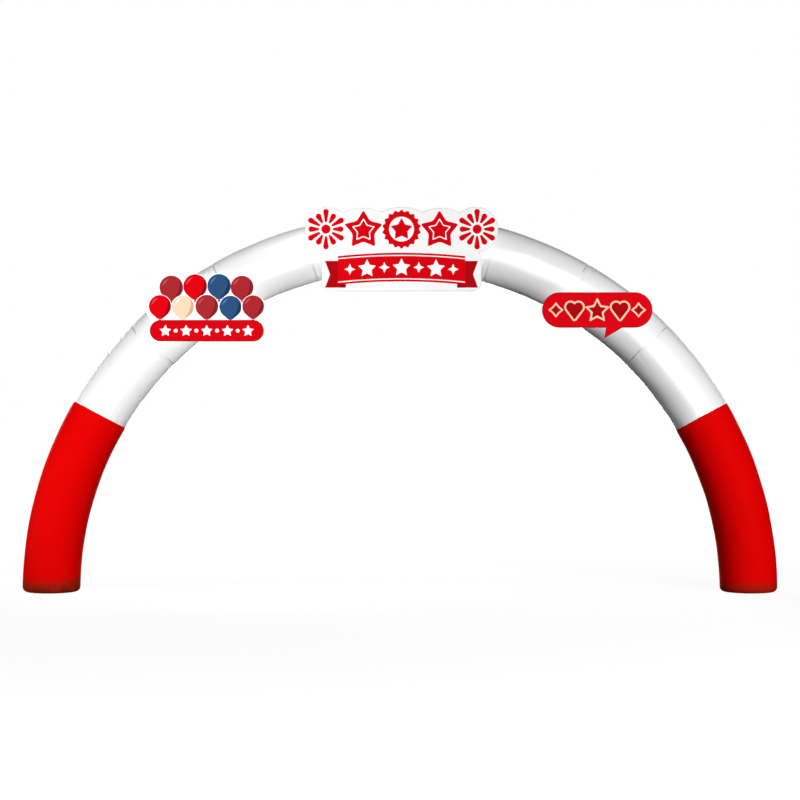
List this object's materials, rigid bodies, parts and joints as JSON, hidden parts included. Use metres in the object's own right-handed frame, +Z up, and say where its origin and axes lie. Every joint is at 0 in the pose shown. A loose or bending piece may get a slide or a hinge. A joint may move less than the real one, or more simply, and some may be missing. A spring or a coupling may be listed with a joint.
{
  "type": "inflatable arch",
  "caption": "Semicircular air-filled cloth arch for an event entrance, with red legs, a white crown and contour-cut signs across its front.",
  "frame": {"origin": "on the floor, at the middle of the whole arch's plan", "axes": "+X from the left foot to the right foot as seen from the front, +Z up, the signs on the -Y side"},
  "size_m": [7.999, 0.6346, 4.049],
  "materials": {
    "white_cloth": "satin coated woven cloth",
    "red_cloth": "satin coated woven cloth",
    "white_board": "matte printed foam board",
    "red_board": "matte printed foam board"
  },
  "bodies": {
    "root": {"leg_left": "red_cloth", "crown_panel_1": "white_cloth", "crown_panel_2": "white_cloth", "crown_panel_3": "white_cloth", "crown_panel_4": "white_cloth", "crown_panel_5": "white_cloth", "crown_panel_6": "white_cloth", "crown_panel_7": "white_cloth", "crown_panel_8": "white_cloth", "leg_right": "red_cloth", "sign_centre": "white_board", "sign_balloons": "white_board", "sign_plate": "red_board", "sign_bubble": "red_board"}
  },
  "joints": []
}
